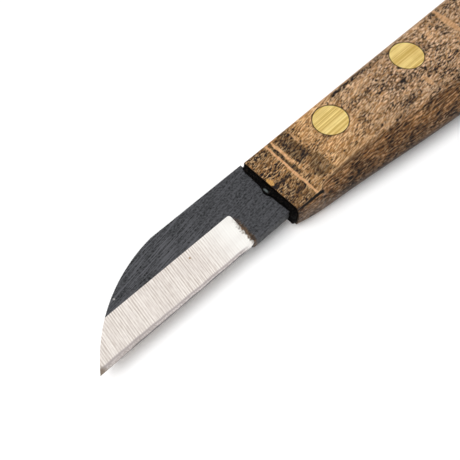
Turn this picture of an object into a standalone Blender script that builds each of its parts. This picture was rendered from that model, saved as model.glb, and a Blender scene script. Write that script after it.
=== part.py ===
"""A wood carving knife, modelled as it comes apart on the bench.

A flat steel blade with a riveted tang is bedded in black epoxy in a one-piece
wooden handle and held by two brass cutlery rivets, each made of two halves.
Nothing moves. Units are metres, and the knife lies on its side with +Z up.

The pieces are drawn from the handle's front end: X runs back to the butt, Y up
to the spine from the line through both rivets, and Z from the blade's middle.
"""

import math

import bmesh
import bpy
from mathutils import Vector

# Blade
BLADE_WIDTH = 0.01575
BLADE_THICKNESS = 0.0022
SPINE_RISE = 0.007            # spine above the rivet line
SPINE_STRAIGHT = 0.02656      # straight spine ahead of the handle
NOSE_RADIUS = 0.042           # curve from the spine down to the tip
NOSE_CORNER = 6.5             # degrees turned where that curve starts
GRIND_WIDTH = 0.0084          # ground bevel, from the cutting edge up
MICRO_WIDTH = 0.00085         # honed band along the cutting edge
MICRO_THICKNESS = 0.00034     # steel left where the honed band starts
EDGE_THICKNESS = 0.00004
PLUNGE_AT = 0.0109            # bare root between the handle and the grind
PLUNGE_RUN = 0.001            # slope of the step at the end of the grind
PLUNGE_LEAN = 0.0011          # how far that step leans to the tip at the cutting edge

# Tang
TANG_WIDTH = 0.009
TANG_TAIL = 0.009             # tang behind the rear rivet's middle
TANG_CORNER = 0.003

# Handle
HANDLE_LENGTH = 0.12
HANDLE_BACK = 0.0062          # straight spine side above the rivet line
FRONT_DEPTH = 0.017
FRONT_THICKNESS = 0.0056
FRONT_SKEW = 2.9              # degrees that the front end is cut off square
BELLY_DEPTH = 0.0246
BELLY_AT = 0.075
BELLY_POWER = 1.75            # how quickly the edge side swells to the belly
HANDLE_THICKNESS = 0.01074
FULL_THICKNESS_AT = 0.046
FRONT_ARRIS = 0.0005          # edge side rounding at the front end
EDGE_ROUND = 0.0062           # edge side rounding, upper half, behind its stop
EDGE_ROUND_STOP = 0.0068
EDGE_ROUND_FULL = 0.033
UNDER_ROUND = 0.0044          # edge side rounding, lower half, which has no stop
UNDER_ROUND_START = 0.003
UNDER_ROUND_FULL = 0.031
EDGE_CREASE = 1.25            # power above 1, so this rounding meets the flats in a soft crease
FRONT_LEAN_RUN = 0.015        # how far back the sections lean with the front end
FRONT_BACK_ARRIS = 0.00015    # spine side rounding at the front end
BACK_ROUND = 0.002
BACK_ROUND_FULL = 0.05
BUTT_ROUND = 0.016
BUTT_BACK_ROUND = 0.0044      # spine side rounding at the butt
BUTT_RISE = 0.0034            # belly side drawn in at the butt
BUTT_DROP = 0.0014            # spine side drawn in at the butt
BUTT_FLAT = 0.2               # share of the section left flat at the end

# Rivets
FRONT_RIVET_AT = 0.02114
RIVET_SPACING = 0.0262
HEAD_DIAMETER = 0.008
HEAD_THICKNESS = 0.0016
TUBE_DIAMETER = 0.005
PIN_DIAMETER = 0.0032
PIN_POINT = 0.0006            # chamfer that leads the pin into the tube

# Epoxy and fits
BED_THICKNESS = 0.00045       # epoxy around the tang
BEAD_LENGTH = 0.0009          # epoxy standing ahead of the wood
BEAD_RIM = 0.00035            # bare wood left around the bead
BEAD_SLOPE = 0.0008           # how far the bead draws in at its front
FIT = 0.00015                 # clearance between pieces that touch

# Facets
NOSE_STEPS = 24
ROUND_STEPS = 14
CORNER_STEPS = 6
TURN_STEPS = 40
HANDLE_STEPS = 6              # sections between two marked places on the handle
STOP_STEPS = 10               # sections where the edge side rounding runs out
BUTT_STEPS = 14
BEAD_STEPS = 3
CUT_MARGIN = 0.002            # how far a cutter reaches past what it cuts
MERGE_DISTANCE = 1e-7

edge_y = SPINE_RISE - BLADE_WIDTH
half_blade = BLADE_THICKNESS / 2
rivet_places = (FRONT_RIVET_AT, FRONT_RIVET_AT + RIVET_SPACING)
tang_end = rivet_places[1] + TANG_TAIL


def front_x(y):
    """The front end's place along the knife at height y."""
    return math.tan(math.radians(FRONT_SKEW)) * y


def ease(x, start, end):
    """0 before start, 1 after end, and a smooth step between them."""
    t = min(max((x - start) / (end - start), 0.0), 1.0)
    return t * t * (3.0 - 2.0 * t)


def swell(x, full_at, power=2.0):
    """0 at the front end, rising to 1 at full_at, along a parabola by default."""
    return 1.0 - max(1.0 - x / full_at, 0.0) ** power


def quarter_turn(steps):
    """Angles from 0 to a right angle."""
    return [math.pi / 2 * i / steps for i in range(steps + 1)]


def new_object(name, mesh, material=None):
    """Link a mesh as a named piece, or as a hidden cutter without a material."""
    mesh.name = name
    piece = bpy.data.objects.new(name, mesh)
    bpy.context.scene.collection.objects.link(piece)
    piece.parent = knife
    if material is None:
        piece.hide_render = True
        piece.display_type = 'WIRE'
    else:
        mesh.materials.append(material)
    return piece


def finish_mesh(bm):
    """Turn every face outwards and hand the shape over as a mesh."""
    bmesh.ops.recalc_face_normals(bm, faces=bm.faces)
    mesh = bpy.data.meshes.new("shape")
    bm.to_mesh(mesh)
    bm.free()
    return mesh


def prism(outline, low, high):
    """Extrude an outline in X and Y from one height to another."""
    bm = bmesh.new()
    floor = bm.faces.new([bm.verts.new((x, y, low)) for x, y in outline])
    lifted = bmesh.ops.extrude_face_region(bm, geom=[floor])["geom"]
    corners = [item for item in lifted if isinstance(item, bmesh.types.BMVert)]
    bmesh.ops.translate(bm, verts=corners, vec=Vector((0.0, 0.0, high - low)))
    return finish_mesh(bm)


def loft(rings):
    """Skin a row of rings with as many points each, and close both ends."""
    bm = bmesh.new()
    rows = [[bm.verts.new(point) for point in ring] for ring in rings]
    count = len(rows[0])
    for near, far in zip(rows, rows[1:]):
        for i in range(count):
            j = (i + 1) % count
            bm.faces.new((near[i], near[j], far[j], far[i]))
    bm.faces.new(rows[0])
    bm.faces.new(rows[-1])
    return finish_mesh(bm)


def turned(profile, x):
    """Spin a profile of (radius, height) points round an upright axis at x."""
    bm = bmesh.new()
    points = [bm.verts.new((radius, 0.0, height)) for radius, height in profile]
    lines = [bm.edges.new(pair) for pair in zip(points, points[1:])]
    bmesh.ops.spin(bm, geom=points + lines, cent=(0, 0, 0), axis=(0, 0, 1),
                   angle=math.tau, steps=TURN_STEPS, use_merge=True)
    bmesh.ops.remove_doubles(bm, verts=bm.verts, dist=MERGE_DISTANCE)
    bmesh.ops.translate(bm, verts=bm.verts, vec=Vector((x, 0.0, 0.0)))
    return finish_mesh(bm)


def combine(piece, tool, operation):
    """Cut, join or trim a piece with another object."""
    modifier = piece.modifiers.new(f"{operation.lower()} {tool.name}", 'BOOLEAN')
    modifier.operation = operation
    modifier.solver = 'EXACT'
    modifier.object = tool


def finish(name, colour, metallic, roughness):
    """A plain finish for one piece."""
    material = bpy.data.materials.new(name)
    material.use_nodes = True
    shader = material.node_tree.nodes["Principled BSDF"]
    shader.inputs["Base Color"].default_value = (*colour, 1.0)
    shader.inputs["Metallic"].default_value = metallic
    shader.inputs["Roughness"].default_value = roughness
    return material


# Blade: bar steel with a rounded nose and a narrower tang with square shoulders

def nose_curve():
    """The arc from the spine to the tip, which lies on the cutting edge."""
    start = math.radians(NOSE_CORNER)
    middle_x = NOSE_RADIUS * math.sin(start) - SPINE_STRAIGHT
    middle_y = SPINE_RISE - NOSE_RADIUS * math.cos(start)
    end = math.acos((edge_y - middle_y) / NOSE_RADIUS)
    turns = [start + (end - start) * i / NOSE_STEPS for i in range(NOSE_STEPS + 1)]
    return [(middle_x - NOSE_RADIUS * math.sin(a), middle_y + NOSE_RADIUS * math.cos(a))
            for a in turns]


def tang_outline(grow, ahead):
    """The tang, grown by a clearance, from a line ahead of the handle to its end."""
    half = TANG_WIDTH / 2 + grow
    corner = TANG_CORNER + grow
    end = tang_end + grow
    lower = [(end - corner + corner * math.sin(a), -half + corner - corner * math.cos(a))
             for a in quarter_turn(CORNER_STEPS)]
    upper = [(x, -y) for x, y in reversed(lower)]
    return [(front_x(-half) - ahead, -half)] + lower + upper + [(front_x(half) - ahead, half)]


def blade_outline():
    """Spine, nose, cutting edge, shoulders and tang as one closed outline."""
    spine_corner = (front_x(SPINE_RISE) - FIT, SPINE_RISE)
    heel_corner = (front_x(edge_y) - FIT, edge_y)
    return [spine_corner] + nose_curve() + [heel_corner] + tang_outline(0.0, FIT)


def plunge_x(y, z):
    """The step that ends the grind: a plane that leans along the knife in y and in z."""
    down = 1.0 - z / half_blade
    out = 1.0 - (y - edge_y) / GRIND_WIDTH
    return -PLUNGE_AT - PLUNGE_RUN * down - PLUNGE_LEAN * out


def grind_cutter(side):
    """What the grinding wheel takes off one face: the bevel and the honed band."""
    bevel_slope = (half_blade - MICRO_THICKNESS / 2) / (GRIND_WIDTH - MICRO_WIDTH)
    above = half_blade + CUT_MARGIN
    below_edge = edge_y - CUT_MARGIN
    section = [(edge_y + GRIND_WIDTH + CUT_MARGIN / bevel_slope, above),
               (edge_y + MICRO_WIDTH, MICRO_THICKNESS / 2),
               (edge_y, EDGE_THICKNESS / 2),
               (below_edge, EDGE_THICKNESS / 2),
               (below_edge, above)]
    past_tip = nose_curve()[-1][0] - CUT_MARGIN
    ahead = [(past_tip, y, side * z) for y, z in section]
    plunge = [(plunge_x(y, z), y, side * z) for y, z in section]
    return loft([ahead, plunge])


# Handle: one piece of wood, thin and square at the front, swelling to a belly

def handle_section(x, inset=0.0, scale=1.0):
    """One cross-section: two flat faces between a rounding on each side.

    The spine side is a half-ellipse, and the edge side two quarters raised to a power.
    Both are arrises at the front end. The upper one on the edge side runs out in a stop
    like a stopped chamfer, and the lower one grows slowly.
    """
    butt = ease(x, BELLY_AT, HANDLE_LENGTH)
    back = HANDLE_BACK - BUTT_DROP * butt - inset
    front_low = HANDLE_BACK - FRONT_DEPTH
    swollen = (FRONT_DEPTH - BELLY_DEPTH) * swell(x, BELLY_AT, BELLY_POWER)
    low = front_low + swollen + BUTT_RISE * butt + inset
    thicken = swell(x, FULL_THICKNESS_AT)
    half = (FRONT_THICKNESS + (HANDLE_THICKNESS - FRONT_THICKNESS) * thicken) / 2 - inset
    run_out = (x - EDGE_ROUND_STOP) / (EDGE_ROUND_FULL - EDGE_ROUND_STOP)
    edge_round = FRONT_ARRIS + (EDGE_ROUND - FRONT_ARRIS) * math.sqrt(min(max(run_out, 0.0), 1.0))
    under = ease(x, UNDER_ROUND_START, UNDER_ROUND_FULL)
    under_round = FRONT_ARRIS + (UNDER_ROUND - FRONT_ARRIS) * under
    back_round = FRONT_BACK_ARRIS + (BACK_ROUND - FRONT_BACK_ARRIS) * swell(x, BACK_ROUND_FULL)
    back_round += (BUTT_BACK_ROUND - BACK_ROUND) * butt
    middle = (back + low) / 2
    turns = [math.pi * (i / ROUND_STEPS - 0.5) for i in range(ROUND_STEPS + 1)]
    right = [(back - back_round + back_round * math.cos(a), half * math.sin(a)) for a in turns]
    left = []
    for a in turns:
        width = edge_round if a < 0.0 else under_round
        rise = half * abs(math.sin(a)) ** EDGE_CREASE
        left.append((low + width * (1.0 - math.cos(a) ** EDGE_CREASE), math.copysign(rise, -a)))
    return [(middle + (y - middle) * scale, z * scale) for y, z in right + left]


def half_thickness(x):
    """Half the handle's thickness at x."""
    return max(z for y, z in handle_section(x))


def handle_ring(x):
    """A cross-section in place, with the front ones leaning with the front cut."""
    lean = max(1.0 - x / FRONT_LEAN_RUN, 0.0)
    return [(x + front_x(y) * lean, y, z) for y, z in handle_section(x)]


def handle_shape():
    """The outside of the handle, skinned from front end to butt."""
    butt_start = HANDLE_LENGTH - BUTT_ROUND
    marks = sorted((EDGE_ROUND_FULL, FULL_THICKNESS_AT, BELLY_AT, butt_start))
    stop_length = EDGE_ROUND_FULL - EDGE_ROUND_STOP
    places = [0.0, EDGE_ROUND_STOP / 2]
    places += [EDGE_ROUND_STOP + stop_length * (i / STOP_STEPS) ** 2 for i in range(STOP_STEPS)]
    places += [a + (b - a) * i / HANDLE_STEPS for a, b in zip(marks, marks[1:])
               for i in range(HANDLE_STEPS)]
    rings = [handle_ring(x) for x in places]
    end_turn = math.acos(BUTT_FLAT)
    for i in range(BUTT_STEPS + 1):
        turn = end_turn * i / BUTT_STEPS
        x = butt_start + BUTT_ROUND * math.sin(turn) / math.sin(end_turn)
        rings.append([(x, y, z) for y, z in handle_section(x, scale=math.sqrt(math.cos(turn)))])
    return loft(rings)


# Rivets: the pin half is driven into the tube half, and both heads are ground flush

def rivet_seat(x):
    """Height of the ledge in the wood that a head pulls against."""
    return half_thickness(x) - HEAD_THICKNESS


def pin_half(x):
    """Head above, pin pointing down."""
    seat = rivet_seat(x) + FIT
    above = half_thickness(x) + CUT_MARGIN
    radius = PIN_DIAMETER / 2
    tip = -rivet_seat(x) + FIT
    return turned([(0.0, above), (HEAD_DIAMETER / 2, above), (HEAD_DIAMETER / 2, seat),
                   (radius, seat), (radius, tip + PIN_POINT), (radius - PIN_POINT, tip),
                   (0.0, tip)], x)


def tube_half(x):
    """Head below, tube pointing up and open to the pin."""
    seat = -rivet_seat(x) - FIT
    below = -half_thickness(x) - CUT_MARGIN
    mouth = rivet_seat(x) - FIT
    bore = PIN_DIAMETER / 2 + FIT
    return turned([(0.0, -rivet_seat(x)), (bore, -rivet_seat(x)), (bore, mouth),
                   (TUBE_DIAMETER / 2, mouth), (TUBE_DIAMETER / 2, seat),
                   (HEAD_DIAMETER / 2, seat), (HEAD_DIAMETER / 2, below), (0.0, below)], x)


def stepped_hole(x):
    """The drilled hole with a flat-bottomed seat for a head at each face."""
    tube = TUBE_DIAMETER / 2 + FIT
    head = HEAD_DIAMETER / 2 + FIT
    seat = rivet_seat(x)
    above = half_thickness(x) + CUT_MARGIN
    return turned([(0.0, above), (head, above), (head, seat), (tube, seat),
                   (tube, -seat), (head, -seat), (head, -above), (0.0, -above)], x)


def plain_hole(x):
    """The hole that lets a tube through the tang and its bedding."""
    tube = TUBE_DIAMETER / 2 + FIT
    above = half_thickness(x) + CUT_MARGIN
    return turned([(0.0, above), (tube, above), (tube, -above), (0.0, -above)], x)


# Epoxy: a sleeve round the tang that ends in a bead ahead of the wood

def bead_shape():
    """A quarter-round bead: each ring reaches further and is drawn in further."""
    rings = []
    for turn in quarter_turn(BEAD_STEPS):
        reach = FIT + (BEAD_LENGTH - FIT) * math.sin(turn)
        draw = BEAD_SLOPE * (1.0 - math.cos(turn))
        ring = handle_section(0.0, inset=BEAD_RIM + draw)
        rings.append([(front_x(y) - reach, y, z) for y, z in ring])
    return loft(rings)


def root_clearance():
    """The room that the blade's full width takes in the bead, open at the spine."""
    low = edge_y - FIT
    high = SPINE_RISE + CUT_MARGIN
    ahead = BEAD_LENGTH + CUT_MARGIN
    outline = [(front_x(low) - ahead, low), (front_x(low), low),
               (front_x(high), high), (front_x(high) - ahead, high)]
    return prism(outline, -half_blade - FIT, half_blade + FIT)


# Clear the scene and set the knife on its handle's flat side
for old in list(bpy.data.objects):
    bpy.data.objects.remove(old)

knife = bpy.data.objects.new("knife", None)
bpy.context.scene.collection.objects.link(knife)
tip_x = nose_curve()[-1][0]
belly_y = HANDLE_BACK - BELLY_DEPTH
top_y = max(HANDLE_BACK, SPINE_RISE)
knife.location = (-(tip_x + HANDLE_LENGTH) / 2, -(belly_y + top_y) / 2, HANDLE_THICKNESS / 2)

steel = finish("carbon steel", (0.045, 0.047, 0.052), 1.0, 0.45)
wood = finish("stained hardwood", (0.30, 0.18, 0.09), 0.0, 0.6)
brass = finish("brass", (0.72, 0.52, 0.18), 1.0, 0.35)
epoxy = finish("black epoxy", (0.008, 0.008, 0.009), 0.0, 0.3)

bed = FIT + BED_THICKNESS
slot = bed + FIT
blank = new_object("handle_blank", handle_shape())
holes = [new_object(f"plain_hole_{i}", plain_hole(x)) for i, x in enumerate(rivet_places)]

blade = new_object("blade", prism(blade_outline(), -half_blade, half_blade), steel)
for name, side in (("upper_grind", 1.0), ("lower_grind", -1.0)):
    combine(blade, new_object(name, grind_cutter(side)), 'DIFFERENCE')
for hole in holes:
    combine(blade, hole, 'DIFFERENCE')

handle = new_object("handle", handle_shape(), wood)
slot_half = half_blade + slot
slot_room = prism(tang_outline(slot, CUT_MARGIN), -slot_half, slot_half)
combine(handle, new_object("slot_cutter", slot_room), 'DIFFERENCE')
for i, x in enumerate(rivet_places):
    combine(handle, new_object(f"stepped_hole_{i}", stepped_hole(x)), 'DIFFERENCE')

bedding = new_object("epoxy_bedding", bead_shape(), epoxy)
bed_half = half_blade + bed
sleeve = prism(tang_outline(bed, (FIT + BEAD_LENGTH) / 2), -bed_half, bed_half)
combine(bedding, new_object("sleeve_shape", sleeve), 'UNION')
tang_room = prism(tang_outline(FIT, CUT_MARGIN), -half_blade - FIT, half_blade + FIT)
combine(bedding, new_object("tang_clearance", tang_room), 'DIFFERENCE')
combine(bedding, new_object("root_clearance", root_clearance()), 'DIFFERENCE')
for hole in holes:
    combine(bedding, hole, 'DIFFERENCE')

for place, x in zip(("front", "rear"), rivet_places):
    for half, shape in (("pin", pin_half), ("tube", tube_half)):
        rivet = new_object(f"{place}_rivet_{half}_half", shape(x), brass)
        combine(rivet, blank, 'INTERSECT')
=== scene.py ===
import math

import bmesh
import bpy
import numpy as np
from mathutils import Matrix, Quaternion, Vector


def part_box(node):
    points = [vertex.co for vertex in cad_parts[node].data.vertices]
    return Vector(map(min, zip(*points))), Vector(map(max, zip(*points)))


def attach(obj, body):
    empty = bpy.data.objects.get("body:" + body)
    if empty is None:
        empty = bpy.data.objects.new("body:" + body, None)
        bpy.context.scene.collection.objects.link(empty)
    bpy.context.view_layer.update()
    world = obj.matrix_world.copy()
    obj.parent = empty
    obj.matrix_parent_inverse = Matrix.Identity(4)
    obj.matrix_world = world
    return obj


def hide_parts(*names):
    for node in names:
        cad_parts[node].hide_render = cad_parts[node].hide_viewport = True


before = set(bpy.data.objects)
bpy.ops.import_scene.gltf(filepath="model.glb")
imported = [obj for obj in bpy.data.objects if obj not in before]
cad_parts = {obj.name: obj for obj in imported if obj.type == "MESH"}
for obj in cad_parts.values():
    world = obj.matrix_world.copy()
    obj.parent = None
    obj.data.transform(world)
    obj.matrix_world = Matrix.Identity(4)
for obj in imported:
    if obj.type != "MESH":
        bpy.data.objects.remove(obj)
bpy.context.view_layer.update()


# Where the knife lies, and the view of it.
# Sizes are in millimetres from one point: where the line through both rivets meets the
# handle's front end, at the middle of the blade. X runs to the butt, Y to the spine, Z up.
MM = 0.001
FRONT_RIVET_AT = 21.14
CAMERA_AT = (-113.83, -93.1, 197.48)
CAMERA_AIM = (-12.97, -2.65, 0.0)
CAMERA_ROLL = 2.69            # degrees
CAMERA_LENS = 90.0
SENSOR_WIDTH = 36.0
CLIP_START = 0.01             # metres

rivet_low, rivet_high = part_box("front_rivet_pin_half")
blade_low, blade_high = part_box("blade")
start = np.array(((rivet_low.x + rivet_high.x) / 2 - FRONT_RIVET_AT * MM,
                  (rivet_low.y + rivet_high.y) / 2,
                  (blade_low.z + blade_high.z) / 2))


def placed(point):
    """A point in the knife's millimetres, in the frame's metres."""
    return Vector(np.asarray(point) * MM + start)


lens = bpy.data.cameras.new("camera")
lens.lens = CAMERA_LENS
lens.sensor_width = SENSOR_WIDTH
lens.clip_start = CLIP_START
camera = bpy.data.objects.new("camera", lens)
bpy.context.scene.collection.objects.link(camera)
sight = placed(CAMERA_AIM) - placed(CAMERA_AT)
camera.location = placed(CAMERA_AT)
camera.rotation_mode = 'QUATERNION'
camera.rotation_quaternion = (sight.to_track_quat('-Z', 'Y')
                              @ Quaternion((0, 0, 1), math.radians(CAMERA_ROLL)))
bpy.context.scene.camera = camera
bpy.context.scene.view_settings.view_transform = 'Standard'


# Blade: flat carbon steel bar, heated and quenched, which leaves a black scale on its flats.
# One long bevel is ground on each face across the edge, and a narrow band is honed on it.
# The ground steel is bright, with lines across the bevel from the grinding belt.
HALF_BLADE = 1.1
EDGE_Y = -8.75
SPINE_Y = 7.0
TIP_X = -54.8
LEAST_TILT = 0.5              # how far up a ground face's normal stands, at least and at most
MOST_TILT = 0.998
GRIND_TOP = -0.35
GRIND_CORNER = 0.7
PLUNGE_AT = -10.9
PLUNGE_LEAN = 0.131           # mm along the knife for each mm towards the edge
SCALE_LEAN = 9.0              # degrees that the scratches run off towards the spine
BELT_PITCH = 0.56             # between two lines that the grinding belt leaves
BELT_STROKE = 14.0
BELT_LEAN = 0.17              # mm along the knife for each mm across it
BELT_STRAY = 4.5              # how far the lines' phase strays, in radians
RIDGE_SHARE = 0.22            # of the even lines, beside the uneven ones
LINES_GROW = (-14.0, -23.0)   # from where to where along the blade
BAND_BEGINS = (-12.8, -15.0)
BAND_WIDENS = (-22.0, -45.0)
BAND_DULLS = (-26.0, -44.0)
EDGE_LINE_ENDS = (-51.0, -46.0)
HONED_AT_HEEL = 0.6
HONED_WIDTH = 0.95            # near the tip
HONED_STRAY = 0.08
BURR_BACK = 0.2               # middle of the burr behind the line where the grind stops
BURR_STRAY = 0.35
LAYER_SHIFT = 7.3             # keeps the layers of noise from repeating each other


def linear(code):
    """An sRGB hex colour such as 'c8a27b' as linear red, green, blue and alpha."""
    share = np.array([int(code[i:i + 2], 16) for i in (0, 2, 4)]) / 255
    light = np.where(share <= 0.04045, share / 12.92, ((share + 0.055) / 1.055) ** 2.4)
    return (*light.tolist(), 1.0)


def add(tree, kind, inputs, **settings):
    """Add a node with its settings, set or link each input, and return its first live output."""
    made = tree.nodes.new("ShaderNode" + kind)
    for name, value in settings.items():
        setattr(made, name, value)
    live = [socket for socket in made.inputs if socket.enabled]
    named = {socket.name: socket for socket in reversed(live)}
    for key, value in inputs.items():
        socket = live[key] if isinstance(key, int) else named[key]
        if isinstance(value, bpy.types.NodeSocket):
            tree.links.new(value, socket)
        else:
            socket.default_value = value
    return next(socket for socket in made.outputs if socket.enabled)


def new_material(name):
    """A material with its tree, its shader and the knife's own millimetres as a vector."""
    material = bpy.data.materials.new(name)
    material.use_nodes = True
    tree = material.node_tree
    shader = tree.nodes["Principled BSDF"]
    metres = add(tree, "TexCoord", {}).node.outputs["Object"]
    mm = add(tree, "Mapping", {"Vector": metres, "Location": tuple(-start / MM),
                               "Scale": (1 / MM,) * 3})
    return material, tree, shader, mm


def noise_layers(tree, vector, layers):
    """Noise of each layer's size: length along the knife and width across it, in mm, and detail."""
    made = {}
    for i, (name, (along, across, detail)) in enumerate(layers.items()):
        shift = LAYER_SHIFT * (i + 1)
        fitted = add(tree, "Mapping", {"Vector": vector, "Location": (shift, shift, shift),
                                       "Scale": (1 / along, 1 / across, 1 / across)})
        made[name] = add(tree, "TexNoise", {"Vector": fitted, "Scale": 1.0, "Detail": detail})
    return made


# Carbon steel, quenched and ground: dull black scale, and satin bright steel where it is ground off
steel, tree, shader, mm = new_material("carbon steel, scaled flats and ground bevel")
x, y = add(tree, "SeparateXYZ", {0: mm}).node.outputs[:2]
facing = add(tree, "TexCoord", {}).node.outputs["Normal"]
normal = add(tree, "SeparateXYZ", {0: facing}).node.outputs
noise = noise_layers(tree, mm, {
    "mottle": (0.55, 0.42, 3.0), "patch": (5.0, 3.0, 2.0), "hone": (0.35, 0.35, 2.0),
    "wander": (3.5, 30.0, 1.0), "burr": (0.6, 0.5, 3.0)})
rolled = add(tree, "VectorRotate", {"Vector": mm, "Angle": math.radians(-SCALE_LEAN)},
             rotation_type='Z_AXIS')
noise |= noise_layers(tree, rolled, {"scratch": (7.0, 0.3, 3.0)})

# A face is ground where it leans off the flats but isn't a side of the bar
tilt = add(tree, "Math", {0: normal["Z"]}, operation='ABSOLUTE')
ground = add(tree, "Math", {0: tilt, 1: (LEAST_TILT + MOST_TILT) / 2,
                            2: (MOST_TILT - LEAST_TILT) / 2}, operation='COMPARE')

# The belt leaves the grind's top corner round, where the slanted line that stops it meets its top
below_top = add(tree, "Math", {0: GRIND_TOP, 1: y}, operation='SUBTRACT')
stopped = add(tree, "Math", {0: below_top, 1: PLUNGE_LEAN, 2: x}, operation='MULTIPLY_ADD')
past_stop = add(tree, "Math", {0: stopped, 1: PLUNGE_AT}, operation='SUBTRACT')
short = add(tree, "Math", {0: GRIND_CORNER, 1: below_top}, operation='SUBTRACT')
late = add(tree, "Math", {0: past_stop, 1: GRIND_CORNER}, operation='ADD')
corner = add(tree, "CombineXYZ", {"X": short, "Y": late})
corner = add(tree, "VectorMath", {0: corner, 1: (0, 0, 0)}, operation='MAXIMUM')
off_corner = add(tree, "VectorMath", {0: corner}, operation='LENGTH').node.outputs["Value"]
inside = add(tree, "Math", {0: off_corner, 1: GRIND_CORNER}, operation='LESS_THAN')
ground = add(tree, "Math", {0: ground, 1: inside}, operation='MULTIPLY')

# Scale: near black, with a fine mottle and long pale scratches that are stronger towards the tip
towards_tip = add(tree, "MapRange", {"Value": x, "From Min": LINES_GROW[0],
                                     "From Max": LINES_GROW[1]})
scratch = add(tree, "MapRange", {"Value": noise["scratch"], "From Min": 0.44, "From Max": 0.62},
              interpolation_type='SMOOTHSTEP')
scratched = add(tree, "MapRange", {"Value": towards_tip, "To Min": 0.5, "To Max": 1.0})
scratch = add(tree, "Math", {0: scratch, 1: scratched}, operation='MULTIPLY')
mottle = add(tree, "MapRange", {"Value": noise["mottle"], "From Min": 0.33, "From Max": 0.67})
scale_tone = add(tree, "Mix", {"Factor": mottle, "A": linear("060708"), "B": linear("4e4f52")},
                 data_type='RGBA')
scale_tone = add(tree, "Mix", {"Factor": scratch, "A": scale_tone, "B": linear("59595d")},
                 data_type='RGBA')

# Ground steel: lines that lean with the stroke, deeper towards the tip, and a painted reflection that
# makes it brighter at the heel
leaned = add(tree, "Math", {0: y, 1: -BELT_LEAN, 2: x}, operation='MULTIPLY_ADD')
stroke = add(tree, "CombineXYZ", {"X": leaned, "Y": y})
belt = noise_layers(tree, stroke, {"drift": (3.0, BELT_STROKE, 1.0), "fine": (0.2, BELT_STROKE, 1.0),
                                   "break": (0.25, 1.6, 2.0)})
phase = add(tree, "Math", {0: leaned, 1: math.tau / BELT_PITCH}, operation='MULTIPLY')
phase = add(tree, "Math", {0: belt["drift"], 1: BELT_STRAY, 2: phase}, operation='MULTIPLY_ADD')
ridge = add(tree, "Math", {0: phase}, operation='SINE')
line = add(tree, "Math", {0: belt["fine"], 1: belt["break"]}, operation='ADD')
line = add(tree, "Math", {0: ridge, 1: RIDGE_SHARE, 2: line}, operation='MULTIPLY_ADD')
line = add(tree, "MapRange", {"Value": line, "From Min": 0.68, "From Max": 1.44})
line_depth = add(tree, "MapRange", {"Value": towards_tip, "To Min": 0.12, "To Max": 1.0})
line_shade = add(tree, "Math", {0: line, 1: line_depth}, operation='MULTIPLY')
# The bevel's base colour is brighter at the heel: this is a painted reflection
bright = add(tree, "Mix", {"Factor": towards_tip, "A": linear("fffdf8"), "B": linear("fcf5ee")},
             data_type='RGBA')
bevel_tone = add(tree, "Mix", {"Factor": line_shade, "A": bright, "B": linear("c9bdb4")},
                 data_type='RGBA')
dulled = add(tree, "MapRange", {"Value": noise["patch"], "From Min": 0.4, "From Max": 0.7,
                                "To Max": 0.2})
bevel_tone = add(tree, "Mix", {"Factor": dulled, "A": bevel_tone, "B": linear("d6cdc8")},
                 data_type='RGBA')

# Honed band: greyer, wider and duller towards the tip, greyest where it meets the bevel, with a
# dark line of painted shade at the edge itself, where the shadow under the blade begins
uneven = add(tree, "MapRange", {"Value": noise["wander"], "From Min": 0.3, "From Max": 0.7,
                                "To Min": -HONED_STRAY, "To Max": HONED_STRAY})
from_edge = add(tree, "Math", {0: y, 1: EDGE_Y}, operation='SUBTRACT')
from_edge = add(tree, "Math", {0: from_edge, 1: uneven}, operation='ADD')
band = add(tree, "MapRange", {"Value": x, "From Min": BAND_WIDENS[0], "From Max": BAND_WIDENS[1],
                              "To Min": HONED_AT_HEEL, "To Max": HONED_WIDTH})
past_heel = add(tree, "MapRange", {"Value": x, "From Min": BAND_BEGINS[0],
                                   "From Max": BAND_BEGINS[1]})
honed = add(tree, "Math", {0: from_edge, 1: band}, operation='LESS_THAN')
honed = add(tree, "Math", {0: honed, 1: past_heel}, operation='MULTIPLY')
off_line = add(tree, "Math", {0: from_edge, 1: band}, operation='SUBTRACT')
off_line = add(tree, "Math", {0: off_line}, operation='ABSOLUTE')
band_line = add(tree, "MapRange", {"Value": off_line, "From Min": 0.34, "From Max": 0.06,
                                   "To Max": 0.8})
band_line = add(tree, "Math", {0: band_line, 1: past_heel}, operation='MULTIPLY')
# Painted shade: a dark line along the cutting edge, where the shadow under the blade begins
edge_shade_line = add(tree, "MapRange", {"Value": from_edge, "From Min": 0.26, "From Max": 0.1})
before_tip = add(tree, "MapRange", {"Value": x, "From Min": EDGE_LINE_ENDS[0],
                                    "From Max": EDGE_LINE_ENDS[1]})
edge_shade_line = add(tree, "Math", {0: edge_shade_line, 1: past_heel}, operation='MULTIPLY')
edge_shade_line = add(tree, "Math", {0: edge_shade_line, 1: before_tip}, operation='MULTIPLY')
hone = add(tree, "MapRange", {"Value": noise["hone"], "From Min": 0.4, "From Max": 0.6})
hone_tone = add(tree, "Mix", {"Factor": hone, "A": linear("ebe4e1"), "B": linear("bdb4b0")},
                data_type='RGBA')
dull = add(tree, "MapRange", {"Value": x, "From Min": BAND_DULLS[0], "From Max": BAND_DULLS[1],
                              "To Max": 0.5})
hone_tone = add(tree, "Mix", {"Factor": dull, "A": hone_tone, "B": linear("a39993")}, data_type='RGBA')
bevel_tone = add(tree, "Mix", {"Factor": honed, "A": bevel_tone, "B": hone_tone}, data_type='RGBA')
bevel_tone = add(tree, "Mix", {"Factor": band_line, "A": bevel_tone, "B": linear("aca2a1")},
                 data_type='RGBA')
bevel_tone = add(tree, "Mix", {"Factor": edge_shade_line, "A": bevel_tone, "B": linear("767374")},
                 data_type='RGBA')
steel_tone = add(tree, "Mix", {"Factor": ground, "A": scale_tone, "B": bevel_tone}, data_type='RGBA')

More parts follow.
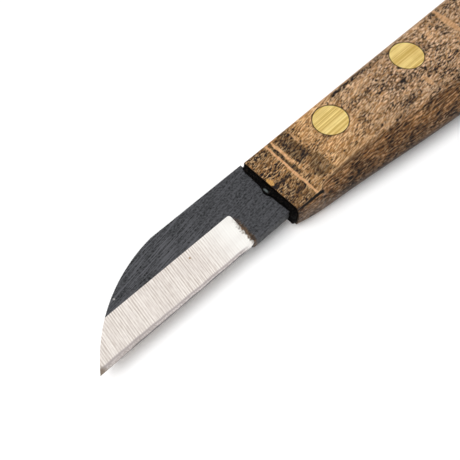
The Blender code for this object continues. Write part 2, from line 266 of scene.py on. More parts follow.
# Burr: scorched brown and ragged along the line where the grind stops, heavier towards the edge
ragged = add(tree, "MapRange", {"Value": noise["burr"], "From Min": 0.3, "From Max": 0.7,
                                "To Min": -BURR_STRAY, "To Max": BURR_STRAY})
from_stop = add(tree, "Math", {0: past_stop, 1: ragged}, operation='ADD')
from_stop = add(tree, "Math", {0: from_stop, 1: BURR_BACK}, operation='SUBTRACT')
from_stop = add(tree, "Math", {0: from_stop}, operation='ABSOLUTE')
burr = add(tree, "MapRange", {"Value": from_stop, "From Min": 0.8, "From Max": 0.2})
heavier = add(tree, "MapRange", {"Value": below_top, "From Min": 0.6, "From Max": 4.0})
burr = add(tree, "Math", {0: burr, 1: heavier}, operation='MULTIPLY')
scorch = add(tree, "Mix", {"Factor": mottle, "A": linear("231a14"), "B": linear("6d5743")},
             data_type='RGBA')
steel_tone = add(tree, "Mix", {"Factor": burr, "A": steel_tone, "B": scorch}, data_type='RGBA')

# Specks: (place, reach, colour) of a chip in the scale, a rust spot, a scorch and the blunted tip
SPECKS = (
    ((-41.8, 1.5, HALF_BLADE), 0.3, "a8a6a4"),
    ((-24.2, -2.1, 0.9), 0.3, "ac9374"),
    ((-11.5, -7.9, 0.5), 0.9, "2c2119"),
    ((TIP_X, EDGE_Y, 0.0), 2.3, "8a7d70"),
)
for place, reach, colour in SPECKS:
    away = add(tree, "VectorMath", {0: mm, 1: place}, operation='DISTANCE').node.outputs["Value"]
    speck = add(tree, "MapRange", {"Value": away, "From Min": reach, "From Max": reach / 2})
    steel_tone = add(tree, "Mix", {"Factor": speck, "A": steel_tone, "B": linear(colour)},
                     data_type='RGBA')

tree.links.new(steel_tone, shader.inputs["Base Color"])
bare = add(tree, "Math", {0: ground, 1: burr}, operation='SUBTRACT', use_clamp=True)
tree.links.new(bare, shader.inputs["Metallic"])
roughness = add(tree, "MapRange", {"Value": bare, "To Min": 0.55, "To Max": 0.35})
tree.links.new(roughness, shader.inputs["Roughness"])
shader.inputs["Specular IOR Level"].default_value = 0.25
relief = add(tree, "Mix", {"Factor": ground, "A": noise["mottle"], "B": line_shade})
bump = add(tree, "Bump", {"Height": relief, "Strength": 0.15, "Distance": 0.03 * MM})
tree.links.new(bump, shader.inputs["Normal"])

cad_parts["blade"].material_slots[0].material = steel


# Handle: one piece of hardwood, sawn thin and square at the front and swelling to a belly.
# Its edge side is rounded over by hand, and the rounding stops short of the front end.
# A slot for the tang and two stepped holes for the rivets are cut in it.
HANDLE_BACK = 6.2
FRONT_DEPTH = 17.0
FRONT_THICKNESS = 5.6
FRONT_SKEW = 2.9              # degrees
BELLY_DEPTH = 24.6
BELLY_AT = 75.0
BELLY_POWER = 1.75
FULL_THICKNESS_AT = 46.0
FRONT_ARRIS = 0.5
EDGE_ROUND = 6.2
EDGE_ROUND_STOP = 6.8
STOP_LEAN = 0.8               # how far the top arris has drawn in at the stop
EDGE_ROUND_FULL = 33.0
UNDER_ROUND = 4.4
UNDER_ROUND_START = 3.0
UNDER_ROUND_FULL = 31.0
EDGE_CREASE = 1.25            # power of the edge side's roundings
FRONT_LEAN_RUN = 15.0
FRONT_BACK_ARRIS = 0.15
BACK_ROUND = 2.0
BACK_ROUND_FULL = 50.0
BUTT_ROUND = 16.0
BUTT_BACK_ROUND = 4.4
BUTT_RISE = 3.4
BUTT_DROP = 1.4
BUTT_FLAT = 0.2               # cosine of the turn at which the butt's rounding ends
ROUND_POINTS = 41
FLAT_POINTS = 22
FRONT_RINGS = 24
STOP_RINGS = 50
BELLY_RINGS = 90
BUTT_RINGS = 26
STOP_GAP = 0.02               # between the last ring ahead of the stop and the stop
SHARP_ANGLE = 32.0            # degrees
CREVICE_DEPTH = 0.5
CREVICE_START = 0.45          # share of its depth that it has at the front end
CREVICE_DOWN = 0.35           # middle of the crevice below the top face
CREVICE_HALF = 0.28
CREVICE_FADE = 0.7            # length over which it closes, at the stop
CREVICE_RISE = 0.104          # mm that the top face rises for each mm along the knife

handle_low, handle_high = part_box("handle")
handle_thickness = (handle_high.z - handle_low.z) / MM
handle_length = (handle_high.x - start[0]) / MM
front_slope = math.tan(math.radians(FRONT_SKEW))


def smooth_step(value, low, high):
    """0 before low, 1 after high, and a smooth step between them."""
    t = np.clip((value - low) / (high - low), 0, 1)
    return t * t * (3 - 2 * t)


def swell(x, full_at, power=2.0):
    """0 at the front end, rising to 1 at full_at, along a parabola by default."""
    return 1 - np.maximum(1 - x / full_at, 0) ** power


def half_thickness(x):
    """Half the handle's thickness: thin at the front, full from FULL_THICKNESS_AT on."""
    return (FRONT_THICKNESS + (handle_thickness - FRONT_THICKNESS) * swell(x, FULL_THICKNESS_AT)) / 2


def handle_rings(x, scale):
    """Cross-sections at each x: two flat faces between a rounding on each side.

    The spine side is a half-ellipse, and the edge side two quarters raised to a power, so
    they meet the flats in a soft crease. Both are arrises at the front end. The edge side's
    upper arris draws in evenly up to the stop, and the quarter then grows by the square root
    of the way past it. The lower quarter grows by a smooth step. The section shrinks by scale
    at the butt.
    """
    butt = smooth_step(x, BELLY_AT, handle_length)
    back = HANDLE_BACK - BUTT_DROP * butt
    low = (HANDLE_BACK - FRONT_DEPTH + BUTT_RISE * butt
           + (FRONT_DEPTH - BELLY_DEPTH) * swell(x, BELLY_AT, BELLY_POWER))
    half = half_thickness(x)
    run_out = np.clip((x - EDGE_ROUND_STOP) / (EDGE_ROUND_FULL - EDGE_ROUND_STOP), 0, 1)
    drawn_in = FRONT_ARRIS + STOP_LEAN * np.clip(x / EDGE_ROUND_STOP, 0, 1)
    edge_round = drawn_in + (EDGE_ROUND - drawn_in) * np.sqrt(run_out)
    under = smooth_step(x, UNDER_ROUND_START, UNDER_ROUND_FULL)
    under_round = FRONT_ARRIS + (UNDER_ROUND - FRONT_ARRIS) * under
    back_round = (FRONT_BACK_ARRIS + (BACK_ROUND - FRONT_BACK_ARRIS) * swell(x, BACK_ROUND_FULL)
                  + (BUTT_BACK_ROUND - BACK_ROUND) * butt)
    turn = np.radians(np.linspace(-90, 90, ROUND_POINTS))
    share = np.linspace(0, 1, FLAT_POINTS + 2)[1:-1]
    back, low, half, edge_round, under_round, back_round = (
        v[:, None] for v in (back, low, half, edge_round, under_round, back_round))
    flat_back = back - back_round
    top_edge = low + edge_round
    under_edge = low + under_round
    width = np.where(turn < 0, edge_round, under_round)
    side_y = low + width * (1 - np.cos(turn) ** EDGE_CREASE)
    side_z = -half * np.sign(turn) * np.abs(np.sin(turn)) ** EDGE_CREASE
    y = np.hstack((flat_back + back_round * np.cos(turn), flat_back + (top_edge - flat_back) * share,
                   side_y, under_edge + (flat_back - under_edge) * share))
    z = np.hstack((half * np.sin(turn), half + 0 * share, side_z, -half + 0 * share))

    # The crevice is a groove just below the top arris of the edge side, ahead of the stop
    below = (half - z - CREVICE_DOWN) / CREVICE_HALF
    growing = CREVICE_START + (1 - CREVICE_START) * x / EDGE_ROUND_STOP
    fading = np.clip((EDGE_ROUND_STOP - x) / CREVICE_FADE, 0, 1)
    ahead = (growing * fading)[:, None]
    y = y + CREVICE_DEPTH * ahead * np.exp(-below ** 2) * (y < top_edge)

    middle = (back + low) / 2
    y = middle + (y - middle) * scale[:, None]
    z = z * scale[:, None]
    lean = np.maximum(1 - x / FRONT_LEAN_RUN, 0)[:, None]
    return np.stack((x[:, None] + front_slope * y * lean, y, z), axis=-1)


def skin(name, rows, looped=False):
    """Skin rows of points, each a closed ring: join neighbours, then cap or join the ends."""
    count, around = rows.shape[:2]
    index = np.arange(count * around).reshape(count, around)
    if looped:
        index = np.vstack((index, index[:1]))
    after = np.roll(index, -1, axis=1)
    quads = np.stack((index[:-1], after[:-1], after[1:], index[1:]), axis=-1).reshape(-1, 4)
    caps = [] if looped else [index[0].tolist(), index[-1].tolist()]
    mesh = bpy.data.meshes.new(name)
    mesh.from_pydata((rows.reshape(-1, 3) * MM + start).tolist(), [], quads.tolist() + caps)
    shape = bmesh.new()
    shape.from_mesh(mesh)
    bmesh.ops.recalc_face_normals(shape, faces=shape.faces)
    shape.to_mesh(mesh)
    shape.free()
    piece = bpy.data.objects.new(name, mesh)
    bpy.context.scene.collection.objects.link(piece)
    return piece


def carve(piece, cutters):
    """Cut each cutter out of a piece for good, and remove the cutters."""
    for cutter in cutters:
        modifier = piece.modifiers.new(cutter.name, 'BOOLEAN')
        modifier.solver = 'EXACT'
        modifier.object = cutter
    graph = bpy.context.evaluated_depsgraph_get()
    carved = bpy.data.meshes.new_from_object(piece.evaluated_get(graph))
    piece.modifiers.clear()
    piece.data = carved
    for cutter in cutters:
        bpy.data.objects.remove(cutter)


# What is cut in it, a little wider than the rivets and the tang are
RIVET_SPACING = 26.2
HEAD_RADIUS = 4.15
HEAD_THICKNESS = 1.6
TUBE_RADIUS = 2.65
TURN_POINTS = 72
TANG_HALF_WIDTH = 5.25
TANG_HALF_THICKNESS = 1.85
TANG_END = 57.1
TANG_CORNER = 3.75
CORNER_POINTS = 8
CUT_MARGIN = 2.0


def stepped_hole(x):
    """Rings of a hole with a wider flat-bottomed seat for a rivet head at each face."""
    seat = float(half_thickness(np.array(x))) - HEAD_THICKNESS
    above = seat + HEAD_THICKNESS + CUT_MARGIN
    radius = np.array((HEAD_RADIUS, HEAD_RADIUS, TUBE_RADIUS, TUBE_RADIUS, HEAD_RADIUS, HEAD_RADIUS))
    height = np.array((above, seat, seat, -seat, -seat, -above))
    turn = np.linspace(0, math.tau, TURN_POINTS, endpoint=False)
    return np.stack((x + radius[:, None] * np.cos(turn), radius[:, None] * np.sin(turn),
                     height[:, None] + 0 * turn), axis=-1)


def tang_slot():
    """Two rings of the slot's outline, square at the mouth and round-cornered at its end."""
    turn = np.radians(np.linspace(0, 90, CORNER_POINTS))
    end_x = TANG_END - TANG_CORNER + TANG_CORNER * np.sin(turn)
    end_y = TANG_CORNER - TANG_HALF_WIDTH - TANG_CORNER * np.cos(turn)
    outline_x = np.concatenate(([-CUT_MARGIN], end_x, end_x[::-1], [-CUT_MARGIN]))
    outline_y = np.concatenate(([-TANG_HALF_WIDTH], end_y, -end_y[::-1], [TANG_HALF_WIDTH]))
    heights = (-TANG_HALF_THICKNESS, TANG_HALF_THICKNESS)
    return np.stack([np.stack((outline_x, outline_y, h + 0 * outline_x), axis=-1) for h in heights])


# Rings crowd where the rounding starts and where the butt turns in
stop_length = EDGE_ROUND_FULL - EDGE_ROUND_STOP
butt_start = handle_length - BUTT_ROUND
end_turn = math.acos(BUTT_FLAT)
butt_turn = np.linspace(0, end_turn, BUTT_RINGS)
straight = np.concatenate((
    np.linspace(0, EDGE_ROUND_STOP - STOP_GAP, FRONT_RINGS),
    EDGE_ROUND_STOP + stop_length * np.linspace(0, 1, STOP_RINGS)[:-1] ** 2,
    np.linspace(EDGE_ROUND_FULL, butt_start, BELLY_RINGS)[:-1]))
places = np.concatenate((straight, butt_start + BUTT_ROUND * np.sin(butt_turn) / math.sin(end_turn)))
shrink = np.concatenate((np.ones_like(straight), np.sqrt(np.cos(butt_turn))))

handle = skin("wooden_handle", handle_rings(places, shrink))
rivet_places = (FRONT_RIVET_AT, FRONT_RIVET_AT + RIVET_SPACING)
carve(handle, [skin("slot", tang_slot())]
      + [skin(f"hole_{i}", stepped_hole(at)) for i, at in enumerate(rivet_places)])
handle.data.shade_smooth()
handle.data.set_sharp_from_angle(angle=math.radians(SHARP_ANGLE))

# Stained hardwood, sanded and oiled: open pores that hold the dark stain, fine pale fibres,
# and smooth pale ray flakes that cross the grain. The edge side's rounding is painted darker, as
# painted shade.
# The pores and fibres are drawn about twice as wide as they are, so that they show.
GRAIN_LEAN = 8.0              # degrees that the grain runs off towards the spine
RAY_LEAN = 0.055              # mm along the knife for each mm towards the spine
RAY_STRAY = 0.8
PATCH_STRAY = 1.8
WARM_STAIN = (36.0, 18.0)     # from where to where along the handle
CREASE_FADES = (18.0, 34.0)
KNOT_AT = (0.35, -1.4)
KNOT_HALF = (0.7, 1.15)
DIRT_OUTSIDE = 0.21           # how far the dirt reaches past the seat's rim
DIRT_INSIDE = 0.09
CREVICE_BLACK = 0.16          # half width of its black line at the front end
CREVICE_WIDENS = 0.02         # mm for each mm along the knife
wood, tree, shader, mm = new_material("stained hardwood, sanded and oiled")
grain = add(tree, "VectorRotate", {"Vector": mm, "Angle": math.radians(-GRAIN_LEAN)},
            rotation_type='Z_AXIS')
noise = noise_layers(tree, grain, {
    "tone": (14.0, 3.0, 2.0), "cluster": (7.0, 2.4, 2.0), "streak": (7.0, 0.7, 3.0),
    "fibre": (1.9, 0.22, 2.0), "glint": (1.2, 0.23, 2.0), "pore": (0.85, 0.21, 1.5),
    "wobble": (1.4, 1.4, 3.0)})
side_noise = noise_layers(tree, mm, {"streak": (7.0, 0.24, 3.0), "fleck": (1.8, 0.17, 2.0),
                                     "fibre": (4.0, 0.2, 2.0)})
x, y, z = add(tree, "SeparateXYZ", {0: mm}).node.outputs
facing = add(tree, "TexCoord", {}).node.outputs["Normal"]
normal = add(tree, "SeparateXYZ", {0: facing}).node.outputs
turned = add(tree, "Math", {0: normal["Y"], 1: -1.0}, operation='MULTIPLY')
side = add(tree, "MapRange", {"Value": turned, "From Min": 0.12, "From Max": 0.5},
           interpolation_type='SMOOTHSTEP')
on_flat = add(tree, "Math", {0: 1.0, 1: side}, operation='SUBTRACT')

# Growth streaks, fibres and pale glints, with the stain warmer towards the front
streak = add(tree, "MapRange", {"Value": noise["streak"], "From Min": 0.34, "From Max": 0.66})
fibre = add(tree, "Mix", {"Factor": side, "A": noise["fibre"], "B": side_noise["fibre"]})
fibre = add(tree, "MapRange", {"Value": fibre, "From Min": 0.39, "From Max": 0.61})
glint = add(tree, "MapRange", {"Value": noise["glint"], "From Min": 0.48, "From Max": 0.61})
tone = add(tree, "Mix", {"Factor": streak, "A": linear("64472f"), "B": linear("a1774d")},
           data_type='RGBA')
light = add(tree, "Mix", {"Factor": streak, "A": linear("ab8057"), "B": linear("cc9d6e")},
            data_type='RGBA')
tone = add(tree, "Mix", {"Factor": fibre, "A": tone, "B": light}, data_type='RGBA')
tone = add(tree, "Mix", {"Factor": glint, "A": tone, "B": linear("eecdaa")}, data_type='RGBA')
broad = add(tree, "MapRange", {"Value": noise["tone"], "From Min": 0.3, "From Max": 0.7,
                               "To Min": 0.68, "To Max": 1.03})
tone = add(tree, "Mix", {"Factor": 1.0, "A": tone, "B": broad}, data_type='RGBA',
           blend_type='MULTIPLY')
warmer = add(tree, "MapRange", {"Value": x, "From Min": WARM_STAIN[0], "From Max": WARM_STAIN[1]})
warmer = add(tree, "Math", {0: warmer, 1: on_flat}, operation='MULTIPLY')
tone = add(tree, "Mix", {"Factor": warmer, "A": tone, "B": linear("fff7e1")}, data_type='RGBA',
           blend_type='MULTIPLY')

# Marked places lie on a plane that is sheared with the rays and has ragged edges
wobble = add(tree, "VectorMath", {0: noise["wobble"].node.outputs["Color"], 1: (0.5, 0.5, 0.5)},
             operation='SUBTRACT')
shear = add(tree, "Math", {0: y, 1: -RAY_LEAN, 2: x}, operation='MULTIPLY_ADD')
flat_place = add(tree, "CombineXYZ", {"X": shear, "Y": y})
rough_place = add(tree, "VectorMath", {0: wobble, 1: (PATCH_STRAY, PATCH_STRAY, 0.0),
                                       2: flat_place}, operation='MULTIPLY_ADD')
ray_place = add(tree, "VectorMath", {0: wobble, 1: (RAY_STRAY, 0.0, 0.0), 2: flat_place},
                operation='MULTIPLY_ADD')


def from_middle(place, middle, half):
    """How far along and across a place is from a mark's middle, in shares of its half size."""
    away = add(tree, "VectorMath", {0: place, 1: (*middle, 0.0)}, operation='SUBTRACT')
    away = add(tree, "VectorMath", {0: away}, operation='ABSOLUTE')
    away = add(tree, "VectorMath", {0: away, 1: (*half, 1.0)}, operation='DIVIDE')
    parts = add(tree, "SeparateXYZ", {0: away}).node.outputs
    return parts["X"], parts["Y"]


# Places on the flats where the stain took darker or lighter, or the pores stand closer or wider:
# (middle, half size, tone, pores), each a box with soft edges
PATCHES = (
    ((1.0, -2.5), (4.6, 12.0), 0.65, 0.02),
    ((6.7, 0.9), (0.42, 5.4), 0.3, 0.02),
    ((10.2, 1.0), (2.0, 4.1), 0.55, 0.02),
    ((10.0, 0.0), (1.7, 2.7), 0.6, 0.03),
    ((2.6, -3.0), (2.4, 0.5), 0.45, 0.1),
    ((2.7, 0.1), (2.5, 1.8), 1.4, 0.02),
    ((11.2, -6.1), (2.0, 2.8), 0.46, -0.04),
    ((9.6, -7.3), (0.8, 0.8), 0.6, 0.05),
    ((19.5, -2.0), (6.0, 9.0), 1.1, -0.06),
    ((35.0, 4.2), (10.0, 0.6), 0.8, 0.09),
    ((46.0, -3.5), (12.0, 5.5), 1.08, 0.02),
    ((56.5, -1.2), (2.0, 2.4), 1.25, -0.05),
)
pore_change = 0.0
for middle, half, shade, pores in PATCHES:
    along, across = from_middle(rough_place, middle, half)
    farther = add(tree, "Math", {0: along, 1: across}, operation='MAXIMUM')
    patch = add(tree, "MapRange", {"Value": farther, "From Min": 1.15, "From Max": 0.85},
                interpolation_type='SMOOTHSTEP')
    patch = add(tree, "Math", {0: patch, 1: on_flat}, operation='MULTIPLY')
    tone = add(tree, "Mix", {"Factor": patch, "A": tone, "B": (shade, shade, shade, 1)},
               data_type='RGBA', blend_type='MULTIPLY')
    pore_change = add(tree, "Math", {0: patch, 1: pores, 2: pore_change}, operation='MULTIPLY_ADD')

# Pores: short dark flecks in clusters
cluster = add(tree, "MapRange", {"Value": noise["cluster"], "From Min": 0.3, "From Max": 0.7,
                                 "To Min": -0.08, "To Max": 0.08})
crowd = add(tree, "Math", {0: cluster, 1: pore_change}, operation='ADD')
fleck = add(tree, "Mix", {"Factor": side, "A": noise["pore"], "B": side_noise["fleck"]})
open_pore = add(tree, "Math", {0: fleck, 1: crowd}, operation='ADD')
pore = add(tree, "MapRange", {"Value": open_pore, "From Min": 0.525, "From Max": 0.585},
           interpolation_type='SMOOTHSTEP')
tone = add(tree, "Mix", {"Factor": pore, "A": tone, "B": linear("1b1514")}, data_type='RGBA')

# Ray flakes, which stop at the edge side's rounding: (middle, half width along the knife and
# half length across it, strength), each lens-shaped
RAYS = (
    ((5.9, -3.2), (0.36, 13.0), 1.0),
    ((7.5, 2.4), (0.38, 4.8), 1.0),
    ((12.1, 2.8), (0.17, 2.4), 0.6),
    ((45.4, -8.2), (0.75, 1.9), 0.6),
    ((62.5, 0.2), (0.95, 5.5), 0.75),
)
ray_tone = add(tree, "Mix", {"Factor": fibre, "A": linear("bd8d5f"), "B": linear("dcb083")},
               data_type='RGBA')
for middle, half, strength in RAYS:
    along, across = from_middle(ray_place, middle, half)
    farther = add(tree, "Math", {0: across, 1: across, 2: along}, operation='MULTIPLY_ADD')
    ray = add(tree, "MapRange", {"Value": farther, "From Min": 1.2, "From Max": 0.7,
                                 "To Max": strength}, interpolation_type='SMOOTHSTEP')
    ray = add(tree, "Math", {0: ray, 1: on_flat}, operation='MULTIPLY')
    tone = add(tree, "Mix", {"Factor": ray, "A": tone, "B": ray_tone}, data_type='RGBA')

# A knot of amber resin at the front end, and dirt in the rings round the rivet heads
along, across = from_middle(rough_place, KNOT_AT, KNOT_HALF)
off_knot = add(tree, "Math", {0: across, 1: across, 2: along}, operation='MULTIPLY_ADD')
amber = add(tree, "MapRange", {"Value": off_knot, "From Min": 1.2, "From Max": 0.85})
amber = add(tree, "Math", {0: amber, 1: on_flat}, operation='MULTIPLY')
amber_tone = add(tree, "Mix", {"Factor": fibre, "A": linear("b18249"), "B": linear("d8aa68")},
                 data_type='RGBA')
tone = add(tree, "Mix", {"Factor": amber, "A": tone, "B": amber_tone}, data_type='RGBA')
on_line = add(tree, "CombineXYZ", {"X": x, "Y": y})
for at in rivet_places:
    away = add(tree, "VectorMath", {0: on_line, 1: (at, 0, 0)}, operation='DISTANCE')
    dirt = add(tree, "MapRange", {"Value": away.node.outputs["Value"],
                                  "From Min": HEAD_RADIUS + DIRT_OUTSIDE,
                                  "From Max": HEAD_RADIUS - DIRT_INSIDE})
    tone = add(tree, "Mix", {"Factor": dirt, "A": tone, "B": linear("2c2018")}, data_type='RGBA')

# The edge side: a pale rim along the crease, partly wear and partly a painted highlight, then golden
# streaky stain under painted shade, which goes dark and greyish down to the underside. The spine side
# is worn pale too.
# The pale rim on the crease is partly wear and partly a painted highlight
rim = add(tree, "Math", {0: turned, 1: 0.12, 2: 0.07}, operation='COMPARE')
spine = add(tree, "MapRange", {"Value": normal["Y"], "From Min": 0.1, "From Max": 0.6})
wear_and_sheen = add(tree, "Math", {0: rim, 1: spine}, operation='MAXIMUM')
wear_and_sheen = add(tree, "Math", {0: wear_and_sheen, 1: 0.25}, operation='MULTIPLY')
tone = add(tree, "Mix", {"Factor": wear_and_sheen, "A": tone, "B": linear("cdab86")}, data_type='RGBA')
# Painted shade: the edge side is painted darker than the top, and darker and greyish towards the
# underside
side_streak = add(tree, "MapRange", {"Value": side_noise["streak"], "From Min": 0.62,
                                     "From Max": 0.42})
side_shade = add(tree, "Mix", {"Factor": side_streak, "A": linear("605a52"), "B": linear("cbbba7")},
                 data_type='RGBA')
lower = add(tree, "MapRange", {"Value": normal["Z"], "From Min": 0.75, "From Max": 0.0})
low_shade = add(tree, "Mix", {"Factor": side_streak, "A": linear("5d6067"), "B": linear("9699a2")},
                data_type='RGBA')
side_shade = add(tree, "Mix", {"Factor": lower, "A": side_shade, "B": low_shade}, data_type='RGBA')
shade = add(tree, "Mix", {"Factor": side, "A": (1, 1, 1, 1), "B": side_shade}, data_type='RGBA')
upper = add(tree, "Math", {0: side, 1: lower}, operation='SUBTRACT', use_clamp=True)

# The side is paler at the front end, and its upper part is paler towards the belly:
# (dark at, pale at, part, gain)
paler_parts = ((16.0, 6.0, side, 1.65), (20.0, 42.0, upper, 1.45))
for dark, pale, part, gain in paler_parts:
    paler = add(tree, "MapRange", {"Value": x, "From Min": dark, "From Max": pale})
    paler = add(tree, "Math", {0: paler, 1: part}, operation='MULTIPLY')
    shade = add(tree, "Mix", {"Factor": paler, "A": shade, "B": (gain, gain, gain, 1)},
                data_type='RGBA', blend_type='MULTIPLY')
tone = add(tree, "Mix", {"Factor": 1.0, "A": tone, "B": shade}, data_type='RGBA',
           blend_type='MULTIPLY')

# The dark line below the crease, which fades along the handle
crease = add(tree, "Math", {0: turned, 1: 0.31, 2: 0.11}, operation='COMPARE')
crease_depth = add(tree, "MapRange", {"Value": x, "From Min": CREASE_FADES[0],
                                      "From Max": CREASE_FADES[1], "To Min": 0.45, "To Max": 0.0})
crease = add(tree, "Math", {0: crease, 1: crease_depth}, operation='MULTIPLY')
tone = add(tree, "Mix", {"Factor": crease, "A": tone, "B": linear("3a2a1c")}, data_type='RGBA')

# The crevice below the top arris is painted black, and wider towards its end
level = add(tree, "Math", {0: x, 1: -CREVICE_RISE, 2: z}, operation='MULTIPLY_ADD')
black_half = add(tree, "Math", {0: x, 1: CREVICE_WIDENS, 2: CREVICE_BLACK}, operation='MULTIPLY_ADD')
crevice = add(tree, "Math", {0: level, 1: FRONT_THICKNESS / 2 - CREVICE_DOWN, 2: black_half},
              operation='COMPARE')
ahead = add(tree, "Math", {0: x, 1: EDGE_ROUND_STOP}, operation='LESS_THAN')
crevice = add(tree, "Math", {0: crevice, 1: ahead}, operation='MULTIPLY')
crevice = add(tree, "Math", {0: crevice, 1: side}, operation='MULTIPLY')
tone = add(tree, "Mix", {"Factor": crevice, "A": tone, "B": linear("0d0a08")}, data_type='RGBA')

# The end grain at the front is dark with the epoxy that was wiped over it
front_end = add(tree, "MapRange", {"Value": normal["X"], "From Min": -0.6, "From Max": -0.8,
                                   "To Max": 0.9})
tone = add(tree, "Mix", {"Factor": front_end, "A": tone, "B": linear("140e0a")}, data_type='RGBA')
tree.links.new(tone, shader.inputs["Base Color"])
shader.inputs["Roughness"].default_value = 0.65
shader.inputs["Specular IOR Level"].default_value = 0.2
relief = add(tree, "Math", {0: fibre, 1: pore}, operation='SUBTRACT')
bump = add(tree, "Bump", {"Height": relief, "Strength": 0.4, "Distance": 0.06 * MM})
tree.links.new(bump, shader.inputs["Normal"])

handle.data.materials.clear()
handle.data.materials.append(wood)
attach(handle, "root")
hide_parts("handle")


# Epoxy: black filled resin poured into the slot before the tang is pushed home, and left to cure.
# What is squeezed out stands ahead of the wood as an uneven bead round the blade's root, smeared
# at one place. The CAD sleeve takes the same material, and this bead is laid over its own one.
BEAD_LENGTH = 0.93
BEAD_RIM = 0.3                # of bare wood outside it
BEAD_ROWS = 10
BEAD_BACK = 0.05
BEAD_POWER = 3                # of its round from the blade to the wood
BEAD_TAPER = 0.35             # how much less it reaches at the spine
BEAD_MEAN = 1.04              # share of its length that it reaches, and how far lumps change that
BEAD_LUMPS = 0.16
LUMPS = ((0.5, 5, 1.0), (0.3, 11, 2.3), (0.2, 23, 0.0))   # height, number round the blade, phase
SMEAR_REACH = 0.7
SMEAR_AT = -1.8
SMEAR_HALF = 1.3
SMEAR_GLINT_AT = (-1.4, -1.9, 1.9)
SMEAR_GLINT_HALF = (0.25, 0.8, 0.6)


def bead_rows():
    """Rings from the blade's surface out to the wood, with a last ring just inside the wood.

    At a share s of the way out, the bead stands ahead of the wood by its reach times
    (1 - s ** power) ** (1 / power), which is a full round. The reach varies round the blade
    by a few waves. It is less towards the spine, and more where the resin smeared.
    """
    front = handle_rings(np.zeros(1), np.ones(1))[0]
    depth = front[:, 1].max() - front[:, 1].min()
    middle = (front[:, 1].max() + front[:, 1].min()) / 2
    outer_y = middle + (front[:, 1] - middle) * (1 - 2 * BEAD_RIM / depth)
    outer_z = front[:, 2] * (1 - 2 * BEAD_RIM / FRONT_THICKNESS)
    inner_y = np.clip(outer_y, EDGE_Y, SPINE_Y)
    inner_z = np.clip(outer_z, -HALF_BLADE, HALF_BLADE)
    wave = np.linspace(0, math.tau, len(front), endpoint=False)
    lumps = sum(height * np.sin(number * wave + phase) for height, number, phase in LUMPS)
    smear = SMEAR_REACH * np.exp(-((outer_y - SMEAR_AT) / SMEAR_HALF) ** 2) * (outer_z > 0)
    taper = 1 - BEAD_TAPER * smooth_step(outer_y, 0, SPINE_Y)
    reach = BEAD_LENGTH * (BEAD_MEAN + BEAD_LUMPS * lumps) * taper + smear
    share = np.linspace(0, 1, BEAD_ROWS)[:, None]
    y = inner_y + (outer_y - inner_y) * share
    z = inner_z + (outer_z - inner_z) * share
    ahead = reach * (1 - share ** BEAD_POWER) ** (1 / BEAD_POWER)
    rows = np.stack((front_slope * y - ahead, y, z), axis=-1)
    back = np.stack((front_slope * inner_y + BEAD_BACK, inner_y, inner_z), axis=-1)
    return np.concatenate((rows, back[None]))


bead = skin("epoxy_bead", bead_rows(), looped=True)
bead.data.shade_smooth()

# Black epoxy, cured in place: smooth and slightly glossy, with dust and small pits
epoxy, tree, shader, mm = new_material("black epoxy, cured in place")
noise = noise_layers(tree, mm, {"pit": (0.5, 0.5, 3.0), "dust": (0.25, 0.25, 2.0)})
dust = add(tree, "MapRange", {"Value": noise["dust"], "From Min": 0.56, "From Max": 0.74})
tone = add(tree, "Mix", {"Factor": dust, "A": linear("020202"), "B": linear("2c2622")},
           data_type='RGBA')

# The smear has one painted highlight: a grey glint on the black resin
thin = add(tree, "VectorMath", {0: mm, 1: SMEAR_GLINT_AT}, operation='SUBTRACT')
thin = add(tree, "VectorMath", {0: thin, 1: SMEAR_GLINT_HALF}, operation='DIVIDE')
thin = add(tree, "VectorMath", {0: thin}, operation='LENGTH').node.outputs["Value"]
thin = add(tree, "MapRange", {"Value": thin, "From Min": 1.1, "From Max": 0.6})
tone = add(tree, "Mix", {"Factor": thin, "A": tone, "B": linear("555b5a")}, data_type='RGBA')
tree.links.new(tone, shader.inputs["Base Color"])
shine = add(tree, "MapRange", {"Value": noise["pit"], "From Min": 0.35, "From Max": 0.6,
                               "To Min": 0.5, "To Max": 0.85})
tree.links.new(shine, shader.inputs["Roughness"])
shader.inputs["Specular IOR Level"].default_value = 0.04
bump = add(tree, "Bump", {"Height": noise["pit"], "Strength": 0.4, "Distance": 0.1 * MM})
tree.links.new(bump, shader.inputs["Normal"])
bead.data.materials.append(epoxy)
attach(bead, "root")
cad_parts["epoxy_bedding"].material_slots[0].material = epoxy


# Rivets: two-part brass cutlery rivets, a pin driven into a tube, with a head on each side.
# Both heads are sanded flush with the wood, along the handle. The CAD rivets take the brass.

# Brass, sanded flush: warm and bright, with fine lines along the handle. They are drawn a little
# coarser than they are, so that they show. Height is left out of them, so that they run straight
# over a head that slopes with the wood.
brass, tree, shader, mm = new_material("brass, sanded flush")
on_face = add(tree, "VectorMath", {0: mm, 1: (1, 1, 0)}, operation='MULTIPLY')
noise = noise_layers(tree, on_face, {"line": (60.0, 0.13, 1.0), "fine": (40.0, 0.09, 1.0),
                                     "tarnish": (3.0, 3.0, 2.0)})
lines = add(tree, "Math", {0: noise["line"], 1: noise["fine"]}, operation='ADD')
line = add(tree, "MapRange", {"Value": lines, "From Min": 0.8, "From Max": 1.2})
tone = add(tree, "Mix", {"Factor": line, "A": linear("c29c4b"), "B": linear("fbe49a")},
           data_type='RGBA')
tarnish = add(tree, "MapRange", {"Value": noise["tarnish"], "From Min": 0.45, "From Max": 0.75,
                                 "To Max": 0.4})
tone = add(tree, "Mix", {"Factor": tarnish, "A": tone, "B": linear("c8a455")}, data_type='RGBA')
tree.links.new(tone, shader.inputs["Base Color"])
shader.inputs["Metallic"].default_value = 1.0
shader.inputs["Roughness"].default_value = 0.34
bump = add(tree, "Bump", {"Height": line, "Strength": 0.15, "Distance": 0.03 * MM})
tree.links.new(bump, shader.inputs["Normal"])
for place in ("front", "rear"):
    for half in ("pin", "tube"):
        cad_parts[f"{place}_rivet_{half}_half"].material_slots[0].material = brass


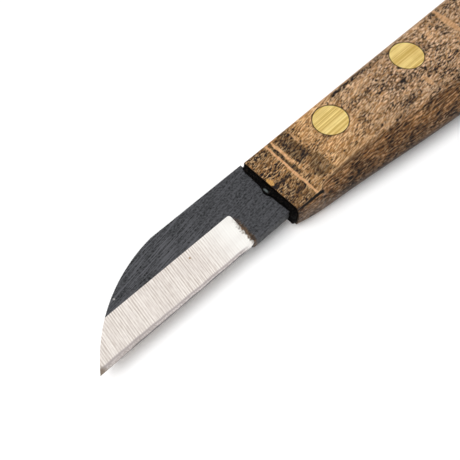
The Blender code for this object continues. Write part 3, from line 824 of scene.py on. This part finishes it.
# Floor and light: a white sheet that keeps the knife's shadow, one soft key light from beyond
# the tip, and even white light from all round. The sheet lies against the handle's swelling
# underside at one place, chosen so that the blade's shadow falls about right.
REST_AT = 40.0
FLOOR_HALF = 2000.0
FLOOR_GLOW = 0.14             # lifts the sheet to white where it is seen
AMBIENT = 0.25
KEY_LEVEL = 0.75
KEY_FROM = (-0.75, 0.04, 1.0)
KEY_SPREAD = 42.0             # degrees


def seen_rays(tree):
    """1 for a ray that comes from the camera, a reflection or glass, and 0 for one that only lights."""
    path = add(tree, "LightPath", {}).node.outputs
    seen = add(tree, "Math", {0: path["Is Camera Ray"], 1: path["Is Glossy Ray"]},
               operation='MAXIMUM')
    return add(tree, "Math", {0: seen, 1: path["Is Transmission Ray"]}, operation='MAXIMUM')


# The underside's own slope at that place is the sheet's slope
rest_half = half_thickness(np.array(REST_AT))
thickening = (handle_thickness - FRONT_THICKNESS) / FULL_THICKNESS_AT
floor_slope = thickening * (1 - REST_AT / FULL_THICKNESS_AT)
corner = np.array(((-1, -1), (1, -1), (1, 1), (-1, 1))) * FLOOR_HALF
floor_z = -rest_half - (corner[:, 0] - REST_AT) * floor_slope
sheet = bpy.data.meshes.new("floor")
sheet.from_pydata((np.column_stack((corner, floor_z)) * MM + start).tolist(), [], [(0, 1, 2, 3)])
floor = bpy.data.objects.new("floor", sheet)
bpy.context.scene.collection.objects.link(floor)
paper = bpy.data.materials.new("white paper sheet")
paper.use_nodes = True
tree = paper.node_tree
shader = tree.nodes["Principled BSDF"]
shader.inputs["Base Color"].default_value = linear("f9f9f9")
shader.inputs["Roughness"].default_value = 1.0
shader.inputs["Specular IOR Level"].default_value = 0.0
glow = add(tree, "Math", {0: seen_rays(tree), 1: FLOOR_GLOW}, operation='MULTIPLY')
shader.inputs["Emission Color"].default_value = (1, 1, 1, 1)
tree.links.new(glow, shader.inputs["Emission Strength"])
sheet.materials.append(paper)

# White room: seen as white, and lighting the knife evenly with its share of the light
world = bpy.data.worlds.new("white room")
bpy.context.scene.world = world
world.use_nodes = True
tree = world.node_tree
sky = tree.nodes["Background"]
sky.inputs["Color"].default_value = (1, 1, 1, 1)
level = add(tree, "MapRange", {"Value": seen_rays(tree), "To Min": AMBIENT, "To Max": 1.0})
tree.links.new(level, sky.inputs["Strength"])

# Key: its energy gives the rest of the light on the level, and the steel doesn't mirror the lamp
sun = bpy.data.lights.new("key", 'SUN')
aim = Vector(KEY_FROM).normalized()
sun.energy = math.pi * KEY_LEVEL / aim.z
sun.angle = math.radians(KEY_SPREAD)
key = bpy.data.objects.new("key", sun)
key.rotation_mode = 'QUATERNION'
key.rotation_quaternion = (-aim).to_track_quat('-Z', 'Y')
key.visible_glossy = False
bpy.context.scene.collection.objects.link(key)
